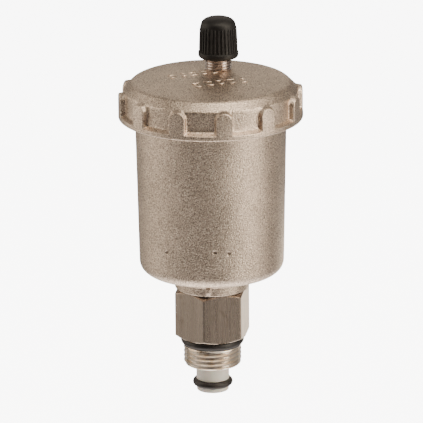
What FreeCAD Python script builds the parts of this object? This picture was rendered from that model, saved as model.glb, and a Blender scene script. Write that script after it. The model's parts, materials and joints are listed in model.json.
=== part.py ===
import FreeCAD, Part
import math
import os

import Sketcher

# Automatic air vent with its shut-off valve, for a boiler or a heating pipe.
# Millimetres and degrees. +Z is up along the common axis, and z = 0 is the lower shoulder of the
# hexagon, which comes down on the pipe boss. The vent nozzle stands off the axis, towards +Y.

SIZES = {
    # shut-off valve: hexagon, inlet shank and stepped bore
    "hex_flats": 19.5,            # across the flats
    "hex_height": 14.3,
    "hex_face_inset": 0.05,       # flats to the flat end faces, inside the 30 degree chamfers
    "hex_turn": 8.6,              # angle it was tightened to, about the axis
    "inlet_major_r": 8.33,        # G 3/8, also the thread of the vent's own spigot
    "inlet_pitch": 1.337,
    "inlet_thread_depth": 0.856,
    "inlet_length": 8.6,          # shoulder to end of thread
    "inlet_land": 0.5,            # plain band at the top of the thread
    "inlet_end_chamfer": 0.51,    # crest to end face
    "inlet_bore_r": 5.3,
    "inlet_mouth": 1.0,           # chamfer at the mouth, which is the plunger's seat
    "socket_depth": 8.1,          # thread depth for the vent's spigot
    "spring_pocket_step": 1.7,    # pocket outside the inlet bore
    "spring_pocket_floor": 1.2,   # above the shoulder
    "boss_ring_od": 18.3,         # O-ring under the hexagon
    "boss_ring_section": 2.62,
    "boss_ring_gap": 0.1,         # under the O-ring, down to the thread's land
    # plunger that closes the inlet when the vent is unscrewed
    "plunger_play": 0.55,         # radial, in the inlet bore
    "plunger_taper": 0.15,        # lost from the radius below its ring
    "plunger_reach": 16.7,        # shoulder to lower end
    "plunger_head_play": 0.3,     # radial, in the spring pocket
    "plunger_head_thickness": 1.2,
    "plunger_flute_width": 2.2,
    "plunger_flute_depth": 2.15,
    "plunger_flute_low": 7.6,     # below the shoulder
    "plunger_ring_grip": 0.5,     # its ring stands outside the inlet bore by this
    "plunger_ring_section": 2.1,
    "plunger_ring_play": 0.05,    # each side of the ring in its groove
    "plunger_ring_drop": 14.4,    # shoulder to the ring's middle
    "plunger_spring_inset": 0.9,  # pocket wall to the middle of the wire
    "plunger_spring_wire": 0.6,
    "plunger_spring_turns": 4,
    # joint between the vent and its shut-off valve
    "joint_gap": 0.4,
    "joint_gasket_proud": 0.2,    # outside the hexagon's end face
    "thread_play": 0.1,           # radial, where a plain bore stands for a thread
    "spigot_length": 7.2,
    "spigot_bore_r": 5.5,
    "spigot_relief": 1.5,         # plain neck above the spigot's thread
    "spigot_end_step": 0.2,       # thread root to the chamfer at the spigot's end
    "thread_start": 0.6,          # pitches that a ridge runs past its open end
    "thread_finish": 0.15,        # pitches that a ridge stops short of its land
    # casing
    "collar_r": 10.75,
    "collar_height": 2.8,
    "bowl_slope": 18,             # degrees
    "bowl_corner": 3.0,
    "casing_r": 21.63,            # under the cover
    "casing_taper": 0.86,         # lost from the radius down to the foot
    "casing_length": 48.1,        # collar to underside of cover
    "casing_wall": 2.17,          # at the foot
    "floor_thickness": 2.8,
    "neck_height": 0.8,
    "rim_height": 6.8,            # rim above the underside of the cover
    "rim_proud": 0.87,            # thread that the cover screws on, outside the casing
    "rim_chamfer": 0.6,
    "nub_width": 1.2,             # stub of the casting gate on the collar
    "nub_height": 1.7,
    "nub_proud": 0.35,
    "nub_turn": 16,
    # cover
    "flange_proud": 1.55,         # outside the cover's wall
    "flange_height": 1.4,
    "flange_chamfer": 0.4,
    "cover_wall": 2.3,            # outside the rim
    "ledge_height": 2.25,
    "cover_height": 12.5,         # underside to top of dome
    "dome_radius": 128,
    "shoulder_radius": 4.4,
    "ceiling_height": 9.4,        # underside to inner ceiling
    "ceiling_inset": 2.5,         # rim to edge of inner ceiling
    "lug_count": 12,
    "lug_width": 4.87,
    "lug_height": 8.2,            # underside of cover to top of lug
    "lug_bevel": 0.5,
    "cover_seal_thickness": 1.0,
    "cover_seal_width": 2.3,
    # vent nozzle
    "nozzle_offset": 6.25,        # from the main axis, along +Y
    "nozzle_major_r": 3.85,       # tyre-valve thread VG 8
    "nozzle_pitch": 0.794,
    "nozzle_thread_depth": 0.43,
    "nozzle_height": 10.1,        # top of dome to top of nozzle
    "nozzle_bore_r": 1.0,
    "nozzle_shank_r": 4.6,
    "nozzle_shank_height": 2.0,
    "nozzle_flange_r": 5.6,
    "nozzle_flange_thickness": 1.5,
    "nozzle_nose_r": 3.2,
    "nozzle_nose_height": 1.0,
    "seat_lip": 0.3,
    "seat_r": 1.6,
    "washer_thickness": 0.6,
    "shank_play": 0.05,
    # dust cap
    "cap_gap": 3.3,               # top of dome to rim of cap
    "cap_height": 11.8,
    "cap_wall": 1.33,
    "cap_rim_proud": 0.45,
    "cap_rim_height": 1.7,
    "cap_rib_proud": 0.32,
    "cap_rib_width": 0.56,
    "cap_rib_count": 32,
    "cap_crown": 2.5,
    "cap_play": 0.12,
    "cap_seal_thickness": 1.0,
    # float
    "float_gap": 1.4,             # to the casing all round
    "float_wall": 0.9,
    "float_floor_gap": 8.0,       # collar to underside of float
    "float_edge": 2.0,
    "float_base_thickness": 1.2,
    "float_travel": 3.6,
    "float_head_gap": 0.9,        # yoke to bracket, with the float up
    "yoke_plate_r": 6.0,
    "yoke_thickness": 1.0,
    "yoke_depth": 3.5,
    "yoke_gap": 1.3,              # from the middle to each ear
    "yoke_head": 1.9,             # link pin to top of ear
    "link_pin_r": 0.8,
    "link_pin_head_r": 1.28,
    "link_pin_head_thickness": 0.6,
    "link_pin_reach": 0.6,        # pin outside each ear
    # bracket, lever and valve stem
    "bracket_half_width": 6.0,
    "bracket_thickness": 1.0,
    "bracket_near": 3.25,         # nozzle's axis to its near edge
    "bracket_far": 2.25,          # lever pivot to its far edge
    "bracket_drop": 19.0,
    "bracket_reach": 11.8,
    "screw_x": 9.5,
    "screw_set_back": 1.75,       # from the nozzle's axis
    "screw_r": 1.2,
    "screw_head_r": 2.1,
    "screw_head_height": 1.3,
    "screw_bite": 1.4,
    "screw_hole_spare": 0.2,      # hole deeper than the screw's bite
    "screw_slot": 0.5,
    "pivot_drop": 9.5,            # ceiling to lever pivot
    "pivot_arm": 4.5,             # lever pivot to valve stem
    "pivot_pin_r": 1.0,
    "pivot_play": 0.05,
    "pin_head_r": 1.7,
    "pin_head_thickness": 0.6,
    "lever_thickness": 1.6,
    "lever_depth": 3.0,
    "lever_hub_r": 1.7,
    "lever_side_play": 0.2,
    "slot_play": 0.12,
    "stem_pin_r": 0.6,
    "stem_pin_inset": 0.22,       # stem's side to the pin's end
    "stem_pin_end": 0.3,          # plain end of the pin
    "stem_r": 2.2,
    "stem_window": 2.2,           # half height of the window for the lever
    "stem_window_play": 0.15,
    "stem_tail_r": 1.15,
    "stem_tail_play": 0.15,
    "stem_tail_reach": 1.4,       # below the bracket's foot
    "stem_shoulder_drop": 2.35,   # stem pin to spring shoulder
    "pad_r": 1.9,
    "pad_thickness": 0.9,
    "seat_gap": 0.03,             # left between pad and seat when shut
    "valve_spring_r": 1.75,
    "valve_spring_wire": 0.4,
    "valve_spring_turns": 5,
}

doc = FreeCAD.newDocument("air_vent")
sheet = doc.addObject("Spreadsheet::Sheet", "sizes")
for row, (alias, number) in enumerate(SIZES.items(), start=1):
    sheet.set("A%d" % row, alias)
    sheet.set("B%d" % row, str(number))
    sheet.setAlias("B%d" % row, alias)
doc.recompute()


class Dim:
    """A size worked out from the sheet: its expression, and its number for first positions."""

    def __init__(self, text, number):
        self.text = text
        self.number = number

    @staticmethod
    def of(value):
        return value if isinstance(value, Dim) else Dim(repr(value), value)

    def join(self, sign, other, number):
        return Dim("(%s %s %s)" % (self.text, sign, other.text), number)

    def __add__(self, other):
        other = Dim.of(other)
        return self.join("+", other, self.number + other.number)

    def __sub__(self, other):
        other = Dim.of(other)
        return self.join("-", other, self.number - other.number)

    def __mul__(self, other):
        other = Dim.of(other)
        return self.join("*", other, self.number * other.number)

    def __truediv__(self, other):
        other = Dim.of(other)
        return self.join("/", other, self.number / other.number)

    def __radd__(self, other):
        return Dim.of(other) + self

    def __rsub__(self, other):
        return Dim.of(other) - self

    def __rmul__(self, other):
        return Dim.of(other) * self

    def __neg__(self):
        return self * -1


def tan(angle):
    angle = Dim.of(angle)
    return Dim("tan(%s * 1 deg)" % angle.text, math.tan(math.radians(angle.number)))


def sqrt(value):
    return Dim("sqrt(%s)" % value.text, math.sqrt(value.number))


def steepness(rise, run):
    """The angle in degrees of a slope that rises by rise over run."""
    slope = rise / run
    return Dim("(atan(%s) / 1 deg)" % slope.text, math.degrees(math.atan(slope.number)))


class Sizes:
    """Every named size of the sheet, as size.hex_flats and so on."""

    def __getattr__(self, alias):
        return Dim("sizes." + alias, float(sheet.get(alias)))


size = Sizes()


def bind(thing, field, value):
    value = Dim.of(value)
    thing.setExpression(field, value.text)


def place(thing, x=0, y=0, z=0, axis=None, angle=0):
    """Sets a piece's Placement from sizes: a point, and a turn about one axis."""
    if axis is not None:
        turn = FreeCAD.Rotation(FreeCAD.Vector(*axis), Dim.of(angle).number)
        thing.Placement = FreeCAD.Placement(FreeCAD.Vector(), turn)
        if isinstance(angle, Dim):
            bind(thing, "Placement.Rotation.Angle", angle)
    for letter, value in (("x", x), ("y", y), ("z", z)):
        if isinstance(value, Dim):
            bind(thing, "Placement.Base." + letter, value)


def new_body(name):
    body = doc.addObject("PartDesign::Body", name)
    body.Label = name
    return body


def new_sketch(body, name, role="XZ_Plane", lift=0):
    """A sketch on one of the body's own origin planes, moved along the plane's normal by lift."""
    sketch = body.newObject("Sketcher::SketchObject", name)
    origin = [part for part in body.Origin.OriginFeatures if part.Role == role]
    sketch.AttachmentSupport = [(origin[0], "")]
    sketch.MapMode = "FlatFace"
    if isinstance(lift, Dim):
        bind(sketch, "AttachmentOffset.Base.z", lift)
    return sketch


def pin_down(sketch, geometry, point, kinds):
    for kind, value in kinds:
        value = Dim.of(value)
        number = sketch.addConstraint(Sketcher.Constraint(kind, -1, 1, geometry, point, value.number))
        sketch.setExpression("Constraints[%d]" % number, value.text)


def draw(sketch, points, arcs=None):
    """A closed outline. arcs maps the number of an edge to the centre of its arc.

    The far end of an arc takes from the sheet only the coordinate that it runs along there: the
    arc's own radius sets the other.
    """
    arcs = arcs or {}
    count = len(points)
    first = sketch.GeometryCount
    spots = [FreeCAD.Vector(Dim.of(x).number, Dim.of(y).number, 0) for x, y in points]
    ends = {}
    for edge in range(count):
        start, stop = spots[edge], spots[(edge + 1) % count]
        if edge in arcs:
            middle = FreeCAD.Vector(*[Dim.of(value).number for value in arcs[edge]], 0)
            radius = (start - middle).Length
            angles = [math.atan2(spot.y - middle.y, spot.x - middle.x) for spot in (start, stop)]
            clockwise = angles[0] > angles[1]
            circle = Part.Circle(middle, FreeCAD.Vector(0, 0, 1), radius)
            sketch.addGeometry(Part.ArcOfCircle(circle, min(angles), max(angles)), False)
            ends[edge] = (2, 1) if clockwise else (1, 2)
        else:
            sketch.addGeometry(Part.LineSegment(start, stop), False)
            ends[edge] = (1, 2)
    for edge in range(count):
        after = (edge + 1) % count
        sketch.addConstraint(
            Sketcher.Constraint("Coincident", first + edge, ends[edge][1], first + after, ends[after][0]))
    for edge, (x, y) in enumerate(points):
        kinds = [("DistanceX", x), ("DistanceY", y)]
        before = (edge - 1) % count
        if before in arcs:
            middle_x, middle_y = [Dim.of(value).number for value in arcs[before]]
            level = abs(spots[edge].y - middle_y) < abs(spots[edge].x - middle_x)
            kinds = kinds[1:] if level else kinds[:1]
        pin_down(sketch, first + edge, ends[edge][0], kinds)
        if edge in arcs:
            centre_x, centre_y = arcs[edge]
            pin_down(sketch, first + edge, 3, [("DistanceX", centre_x), ("DistanceY", centre_y)])


def draw_circle(sketch, x, y, radius):
    centre = FreeCAD.Vector(Dim.of(x).number, Dim.of(y).number, 0)
    circle = sketch.addGeometry(Part.Circle(centre, FreeCAD.Vector(0, 0, 1), Dim.of(radius).number), False)
    pin_down(sketch, circle, 3, [("DistanceX", x), ("DistanceY", y)])
    number = sketch.addConstraint(Sketcher.Constraint("Radius", circle, Dim.of(radius).number))
    sketch.setExpression("Constraints[%d]" % number, Dim.of(radius).text)


def spin(body, name, points, arcs=None, cut=False):
    """Turns an outline, given as radius and height, about the body's axis."""
    sketch = new_sketch(body, name + "_profile")
    draw(sketch, points, arcs)
    feature = body.newObject("PartDesign::Groove" if cut else "PartDesign::Revolution", name)
    feature.Profile = (sketch, [""])
    feature.ReferenceAxis = (sketch, ["V_Axis"])
    feature.Angle = 360
    return feature


def extrude(body, name, sketch, length, cut=False, both=False, through=False):
    feature = body.newObject("PartDesign::Pocket" if cut else "PartDesign::Pad", name)
    feature.Profile = (sketch, [""])
    if through:
        feature.Type = "ThroughAll"
    else:
        bind(feature, "Length", length)
    feature.Midplane = both
    return feature


def bore(body, name, x, y, radius, top, depth):
    """A round hole along Z, from the height top downwards."""
    sketch = new_sketch(body, name + "_circle", "XY_Plane", top)
    draw_circle(sketch, x, y, radius)
    return extrude(body, name, sketch, depth, cut=True)


def around(body, name, features, count):
    pattern = body.newObject("PartDesign::PolarPattern", name)
    pattern.Originals = features
    origin = [part for part in body.Origin.OriginFeatures if part.Role == "Z_Axis"]
    pattern.Axis = (origin[0], [""])
    pattern.Angle = 360
    bind(pattern, "Occurrences", count)
    body.Tip = pattern
    return pattern


def round_edge(body, name, base, radius, fillet):
    """Rounds the circular edge of the given radius about the axis, the highest if there are two."""
    doc.recompute()
    wanted = []
    for number, edge in enumerate(base.Shape.Edges, start=1):
        if edge.Degenerated:
            continue
        if edge.Curve.TypeId == "Part::GeomCircle" and abs(edge.Curve.Radius - radius.number) < 1e-4:
            wanted.append((edge.Curve.Center.z, "Edge%d" % number))
    feature = body.newObject("PartDesign::Fillet", name)
    feature.Base = (base, [max(wanted)[1]])
    bind(feature, "Radius", fillet)
    return feature


def ridge(body, name, crest_r, depth, pitch, low, high):
    """A right-hand thread ridge on a root cylinder, its middle rising from low to high."""
    inside = 0.15
    relief = 0.03
    crest_half = pitch * 0.1
    root_half = pitch * 0.44
    sketch = new_sketch(body, name + "_form")
    root = crest_r - depth
    draw(sketch, [
        (root - inside, low - root_half),
        (root, low - root_half),
        (crest_r - relief, low - crest_half),
        (crest_r - relief, low + crest_half),
        (root, low + root_half),
        (root - inside, low + root_half),
    ])
    helix = body.newObject("PartDesign::AdditiveHelix", name)
    helix.Profile = (sketch, [""])
    helix.ReferenceAxis = (sketch, ["V_Axis"])
    helix.Mode = 0
    bind(helix, "Pitch", pitch)
    bind(helix, "Height", high - low)
    return helix


def coil(name, radius, wire, turns, low, high):
    """A compression spring between two heights."""
    body = new_body(name)
    gap = 0.02
    sketch = new_sketch(body, name + "_wire")
    draw_circle(sketch, radius, low + wire / 2 + gap, wire / 2)
    rise = high - low - wire - 2 * gap
    helix = body.newObject("PartDesign::AdditiveHelix", name + "_coil")
    helix.Profile = (sketch, [""])
    helix.ReferenceAxis = (sketch, ["V_Axis"])
    helix.Mode = 0
    bind(helix, "Pitch", rise / turns)
    bind(helix, "Height", rise)
    return body


def ring(name, outside_d, section, height):
    """An O-ring about the main axis."""
    torus = doc.addObject("Part::Torus", name)
    torus.Label = name
    bind(torus, "Radius1", (outside_d - section) / 2)
    bind(torus, "Radius2", section / 2)
    place(torus, z=height)
    return torus


def washer(name, inside_r, outside_r, low, thickness, y=0):
    """A flat ring about the main axis, or about the line at y."""
    pieces = []
    for suffix, radius, spare in (("_blank", outside_r, 0), ("_hole", inside_r, 1)):
        disc = doc.addObject("Part::Cylinder", name + suffix)
        bind(disc, "Radius", radius)
        bind(disc, "Height", thickness + 2 * spare)
        place(disc, y=y, z=low - spare)
        pieces.append(disc)
    flat = doc.addObject("Part::Cut", name)
    flat.Label = name
    flat.Base, flat.Tool = pieces
    return flat


def headed_pin(name, radius, half_length, head_r, head_thickness, y, z, heads):
    """A pin along X with a head outside each listed end, -1 or 1."""
    rod = doc.addObject("Part::Cylinder", name + "_rod")
    bind(rod, "Radius", radius)
    bind(rod, "Height", 2 * half_length)
    place(rod, -half_length, y, z, (0, 1, 0), 90)
    pieces = [rod]
    for side in heads:
        head = doc.addObject("Part::Cylinder", name + ("_head" if side < 0 else "_button"))
        bind(head, "Radius", head_r)
        bind(head, "Height", head_thickness)
        start = -half_length if side < 0 else half_length - head_thickness
        place(head, start, y, z, (0, 1, 0), 90)
        pieces.append(head)
    pin = doc.addObject("Part::MultiFuse", name)
    pin.Label = name
    pin.Shapes = pieces
    return pin


# Heights on the main axis, from the shoulder up.
collar_low = size.hex_height + size.joint_gap
collar_high = collar_low + size.collar_height
cover_low = collar_high + size.casing_length
rim_top = cover_low + size.rim_height
ceiling = cover_low + size.ceiling_height
dome_top = cover_low + size.cover_height
dome_centre = dome_top - size.dome_radius
spigot_end = collar_low - size.spigot_length
socket_floor = size.hex_height - size.socket_depth
nozzle_top = dome_top + size.nozzle_height
flange_top = ceiling - size.washer_thickness
flange_low = flange_top - size.nozzle_flange_thickness
nose_low = flange_low - size.nozzle_nose_height
seat = nose_low - size.seat_lip
cap_low = dome_top + size.cap_gap

# Radii. Each is worked out from the one that it fits round or inside.
spigot_root_r = size.inlet_major_r - size.inlet_thread_depth
hex_face_r = size.hex_flats / 2 - size.hex_face_inset
inlet_end_r = size.inlet_major_r - size.inlet_end_chamfer
plunger_r = size.inlet_bore_r - size.plunger_play
spring_pocket_r = size.inlet_bore_r + size.spring_pocket_step
plunger_head_r = spring_pocket_r - size.plunger_head_play
plunger_ring_od = 2 * (size.inlet_bore_r + size.plunger_ring_grip)
casing_low_r = size.casing_r - size.casing_taper
cavity_r = casing_low_r - size.casing_wall
rim_r = size.casing_r + size.rim_proud
cover_r = rim_r + size.cover_wall
flange_r = cover_r + size.flange_proud
ceiling_r = rim_r - size.ceiling_inset
float_r = cavity_r - size.float_gap
cap_bore_r = size.nozzle_major_r + size.cap_play
cap_r = cap_bore_r + size.cap_wall

# The linkage at rest, with the float down. The link pin rides as far below the pivot at rest as
# above it when the valve is shut.
pivot_y = size.nozzle_offset + size.pivot_arm
pivot_z = ceiling - size.pivot_drop
half_travel = size.float_travel / 2
lever_rest = steepness(half_travel, pivot_y)
link_z = pivot_z - half_travel
lever_share = size.pivot_arm / pivot_y
stem_pin_z = pivot_z - half_travel * lever_share
stem_travel = size.float_travel * lever_share
stem_top = seat - stem_travel - size.seat_gap
stem_shoulder = stem_pin_z - size.stem_shoulder_drop
bracket_low = ceiling - size.bracket_drop
bracket_floor = bracket_low + size.bracket_thickness
bracket_near = size.nozzle_offset - size.bracket_near
bracket_far = pivot_y + size.bracket_far
screw_y = size.nozzle_offset + size.screw_set_back
float_low = collar_high + size.float_floor_gap
float_top = bracket_low - size.float_head_gap - size.float_travel - size.yoke_thickness


def make_shutoff_valve_body():
    body = new_body("shutoff_valve_body")
    prism = new_sketch(body, "hexagon", "XY_Plane")
    corner_r = size.hex_flats / math.sqrt(3)
    draw(prism, [
        (corner_r * math.cos(math.radians(60 * k)), corner_r * math.sin(math.radians(60 * k)))
        for k in range(6)])
    extrude(body, "hex_bar", prism, size.hex_height)
    undercut_r = size.boss_ring_od / 2 - size.boss_ring_section
    land_high = -size.boss_ring_section - size.boss_ring_gap
    land_low = land_high - size.inlet_land
    spin(body, "inlet_shank", [
        (0, 1),
        (undercut_r, 1),
        (undercut_r, land_high),
        (size.inlet_major_r, land_high),
        (size.inlet_major_r, land_low),
        (spigot_root_r, land_low),
        (spigot_root_r, -size.inlet_length),
        (0, -size.inlet_length),
    ])
    ridge(body, "inlet_ridge", size.inlet_major_r, size.inlet_thread_depth, size.inlet_pitch,
          -size.inlet_length - size.inlet_pitch * size.thread_start,
          land_low - size.inlet_pitch * size.thread_finish)
    lead = 2
    spin(body, "inlet_lead", [
        (inlet_end_r, -size.inlet_length),
        (inlet_end_r + lead, lead - size.inlet_length),
        (inlet_end_r + lead, -size.inlet_length - lead),
        (1, -size.inlet_length - lead),
        (1, -size.inlet_length),
    ], cut=True)
    outside = corner_r + 1
    fall = (outside - hex_face_r) * tan(30)
    spin(body, "upper_chamfer", [
        (hex_face_r, size.hex_height),
        (outside, size.hex_height - fall),
        (outside, size.hex_height + 1),
        (hex_face_r, size.hex_height + 1),
    ], cut=True)
    spin(body, "lower_chamfer", [
        (hex_face_r, 0),
        (outside, fall),
        (outside, -1),
        (hex_face_r, -1),
    ], cut=True)
    socket_r = size.inlet_major_r + size.thread_play
    spin(body, "stepped_bore", [
        (0, size.hex_height + 1),
        (socket_r, size.hex_height + 1),
        (socket_r, socket_floor),
        (spring_pocket_r, socket_floor),
        (spring_pocket_r, size.spring_pocket_floor),
        (size.inlet_bore_r, size.spring_pocket_floor),
        (size.inlet_bore_r, size.inlet_mouth - size.inlet_length),
        (size.inlet_bore_r + size.inlet_mouth, -size.inlet_length),
        (size.inlet_bore_r + size.inlet_mouth, -size.inlet_length - 1),
        (0, -size.inlet_length - 1),
    ], cut=True)
    place(body, axis=(0, 0, 1), angle=size.hex_turn)
    return body


def make_inlet_seal_ring():
    return ring("inlet_seal_ring", size.boss_ring_od, size.boss_ring_section, -size.boss_ring_section / 2)


def make_shutoff_plunger():
    body = new_body("shutoff_plunger")
    head_low = spigot_end - size.plunger_head_thickness
    groove_r = plunger_ring_od / 2 - size.plunger_ring_section
    groove_half = size.plunger_ring_section / 2 + size.plunger_ring_play
    groove_z = -size.plunger_ring_drop
    spin(body, "plunger_turning", [
        (0, spigot_end),
        (plunger_head_r, spigot_end),
        (plunger_head_r, head_low),
        (plunger_r, head_low),
        (plunger_r, groove_z + groove_half),
        (groove_r, groove_z + groove_half),
        (groove_r, groove_z - groove_half),
        (plunger_r, groove_z - groove_half),
        (plunger_r - size.plunger_taper, -size.plunger_reach),
        (0, -size.plunger_reach),
    ])
    sketch = new_sketch(body, "flute_outline", "XY_Plane", spigot_end + 1)
    half = size.plunger_flute_width / 2
    draw(sketch, [
        (plunger_r - size.plunger_flute_depth, -half),
        (plunger_head_r + 1, -half),
        (plunger_head_r + 1, half),
        (plunger_r - size.plunger_flute_depth, half),
    ])
    flute = extrude(body, "flute", sketch, spigot_end + 1 + size.plunger_flute_low, cut=True)
    around(body, "flutes", [flute], 4)
    return body


def make_plunger_seal_ring():
    return ring("plunger_seal_ring", plunger_ring_od, size.plunger_ring_section, -size.plunger_ring_drop)


def make_plunger_spring():
    return coil("plunger_spring", spring_pocket_r - size.plunger_spring_inset, size.plunger_spring_wire,
                size.plunger_spring_turns, size.spring_pocket_floor,
                spigot_end - size.plunger_head_thickness)


def make_joint_gasket():
    return washer("joint_gasket", size.inlet_major_r + size.thread_play, hex_face_r + size.joint_gasket_proud,
                  size.hex_height, size.joint_gap)


def make_casing():
    body = new_body("casing")
    rise = tan(size.bowl_slope)
    corner_z = collar_high + (casing_low_r - size.collar_r) * rise
    floor_z = collar_high + size.floor_thickness
    relief_low = collar_low - size.spigot_relief
    band_low = cover_low + size.neck_height
    band_step = rim_r - size.casing_r
    shell = spin(body, "shell", [
        (size.spigot_bore_r, spigot_end),
        (spigot_root_r, spigot_end),
        (spigot_root_r, collar_low),
        (size.collar_r, collar_low),
        (size.collar_r, collar_high),
        (casing_low_r, corner_z),
        (size.casing_r, cover_low),
        (size.casing_r, band_low),
        (rim_r, band_low + band_step),
        (rim_r, rim_top - size.rim_chamfer),
        (rim_r - size.rim_chamfer, rim_top),
        (cavity_r, rim_top),
        (cavity_r, floor_z + (cavity_r - size.collar_r) * rise),
        (size.spigot_bore_r, floor_z - (size.collar_r - size.spigot_bore_r) * rise),
    ])
    round_edge(body, "bowl_round", shell, casing_low_r, size.bowl_corner)
    ridge(body, "spigot_ridge", size.inlet_major_r, size.inlet_thread_depth, size.inlet_pitch,
          spigot_end - size.inlet_pitch * size.thread_start, relief_low)
    lead = 2
    start_r = spigot_root_r + size.spigot_end_step
    spin(body, "spigot_lead", [
        (start_r, spigot_end),
        (start_r + lead, spigot_end + lead),
        (start_r + lead, spigot_end - lead),
        (1, spigot_end - lead),
        (1, spigot_end),
    ], cut=True)
    nub_low = collar_low + (size.collar_height - size.nub_height) / 2
    sketch = new_sketch(body, "gate_stub_outline", "XY_Plane", nub_low)
    half = size.nub_width / 2
    draw(sketch, [
        (-half, -size.collar_r - size.nub_proud),
        (half, -size.collar_r - size.nub_proud),
        (half, 1 - size.collar_r),
        (-half, 1 - size.collar_r),
    ])
    extrude(body, "gate_stub", sketch, size.nub_height)
    place(body, axis=(0, 0, 1), angle=size.nub_turn)
    return body


def make_cover():
    body = new_body("cover")
    bore_r = rim_r + size.thread_play
    step_z = rim_top + size.cover_seal_thickness
    reach = size.dome_radius * size.dome_radius - cover_r * cover_r
    shell = spin(body, "shell", [
        (bore_r, cover_low),
        (flange_r - size.flange_chamfer, cover_low),
        (flange_r, cover_low + size.flange_chamfer),
        (flange_r, cover_low + size.flange_height),
        (cover_r, cover_low + size.ledge_height),
        (cover_r, dome_centre + sqrt(reach)),
        (0, dome_top),
        (0, ceiling),
        (ceiling_r, ceiling),
        (ceiling_r, step_z),
        (bore_r, step_z),
    ], arcs={5: (0, dome_centre)})
    round_edge(body, "shoulder", shell, cover_r, size.shoulder_radius)
    arch_r = size.lug_width / 2
    arch_z = cover_low + size.lug_height - arch_r
    lugs = []
    for name, narrower, depth in (("lug", 0, -size.lug_bevel), ("lug_face", size.lug_bevel, 0)):
        sketch = new_sketch(body, name + "_outline", "XZ_Plane", flange_r + depth)
        half = arch_r - narrower
        draw(sketch, [
            (half, cover_low + size.flange_chamfer),
            (half, arch_z),
            (-half, arch_z),
            (-half, cover_low + size.flange_chamfer),
        ], arcs={1: (0, arch_z)})
        lug = extrude(body, name, sketch, flange_r - cover_r + 1)
        lug.Reversed = True
        lugs.append(lug)
    around(body, "lugs", lugs, size.lug_count)
    nozzle_hole_r = size.nozzle_major_r + size.thread_play
    bore(body, "nozzle_hole", 0, size.nozzle_offset, nozzle_hole_r, dome_top + 1,
         dome_top + 2 - ceiling)
    bore(body, "shank_hole", 0, size.nozzle_offset, size.nozzle_shank_r + size.shank_play,
         ceiling + size.nozzle_shank_height, size.nozzle_shank_height + 1)
    for name, side in (("left_screw_hole", -1), ("right_screw_hole", 1)):
        bore(body, name, side * size.screw_x, screw_y, size.screw_r + size.shank_play,
             ceiling + size.screw_bite + size.screw_hole_spare, size.screw_bite + 1)
    return body


def make_cover_seal():
    return washer("cover_seal", rim_r - size.cover_seal_width, rim_r, rim_top, size.cover_seal_thickness)


def make_vent_nozzle():
    body = new_body("vent_nozzle")
    root_r = size.nozzle_major_r - size.nozzle_thread_depth
    shank_top = ceiling + size.nozzle_shank_height
    spin(body, "nozzle_turning", [
        (size.nozzle_bore_r, seat),
        (size.seat_r, seat),
        (size.seat_r, nose_low),
        (size.nozzle_nose_r, nose_low),
        (size.nozzle_nose_r, flange_low),
        (size.nozzle_flange_r, flange_low),
        (size.nozzle_flange_r, flange_top),
        (size.nozzle_shank_r, flange_top),
        (size.nozzle_shank_r, shank_top),
        (root_r, shank_top),
        (root_r, nozzle_top),
        (size.nozzle_bore_r, nozzle_top),
    ])
    ridge(body, "nozzle_ridge", size.nozzle_major_r, size.nozzle_thread_depth, size.nozzle_pitch,
          shank_top, nozzle_top + size.nozzle_pitch * size.thread_start)
    lead = 1.2
    spin(body, "nozzle_lead", [
        (root_r, nozzle_top),
        (root_r + lead, nozzle_top - lead),
        (root_r + lead, nozzle_top + lead),
        (0.5, nozzle_top + lead),
        (0.5, nozzle_top),
    ], cut=True)
    place(body, y=size.nozzle_offset)
    return body


def make_nozzle_washer():
    return washer("nozzle_washer", size.nozzle_shank_r + size.shank_play, size.nozzle_flange_r,
                  flange_top, size.washer_thickness, y=size.nozzle_offset)


def make_dust_cap():
    body = new_body("dust_cap")
    cap_top = cap_low + size.cap_height
    blank = spin(body, "cap_blank", [
        (cap_bore_r, cap_low),
        (cap_r + size.cap_rim_proud, cap_low),
        (cap_r + size.cap_rim_proud, cap_low + size.cap_rim_height),
        (cap_r, cap_low + size.cap_rim_height),
        (cap_r, cap_top),
        (0, cap_top),
        (0, nozzle_top + size.cap_seal_thickness),
        (cap_bore_r, nozzle_top + size.cap_seal_thickness),
    ])
    round_edge(body, "crown", blank, cap_r, size.cap_crown)
    rib_foot = cap_low + size.cap_rim_height / 2
    sketch = new_sketch(body, "rib_outline", "XY_Plane", rib_foot)
    half = size.cap_rib_width / 2
    inner = cap_r - size.cap_wall / 3
    outer = cap_r + size.cap_rib_proud
    draw(sketch, [(inner, -half), (outer, -half), (outer, half), (inner, half)])
    rib = extrude(body, "rib", sketch, cap_top - size.cap_crown - rib_foot)
    around(body, "ribs", [rib], size.cap_rib_count)
    place(body, y=size.nozzle_offset)
    return body


def make_cap_seal():
    disc = doc.addObject("Part::Cylinder", "cap_seal")
    disc.Label = "cap_seal"
    bind(disc, "Radius", size.nozzle_major_r)
    bind(disc, "Height", size.cap_seal_thickness)
    place(disc, y=size.nozzle_offset, z=nozzle_top)
    return disc


def make_float_shell():
    body = new_body("float_shell")
    inner_r = float_r - size.float_wall
    cup = spin(body, "cup", [
        (inner_r, float_low),
        (float_r, float_low),
        (float_r, float_top),
        (0, float_top),
        (0, float_top - size.float_wall),
        (inner_r, float_top - size.float_wall),
    ])
    round_edge(body, "cup_edge", cup, float_r, size.float_edge)
    return body


def make_float_base():
    disc = doc.addObject("Part::Cylinder", "float_base")
    disc.Label = "float_base"
    bind(disc, "Radius", float_r - size.float_wall)
    bind(disc, "Height", size.float_base_thickness)
    place(disc, z=float_low)
    return disc


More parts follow.
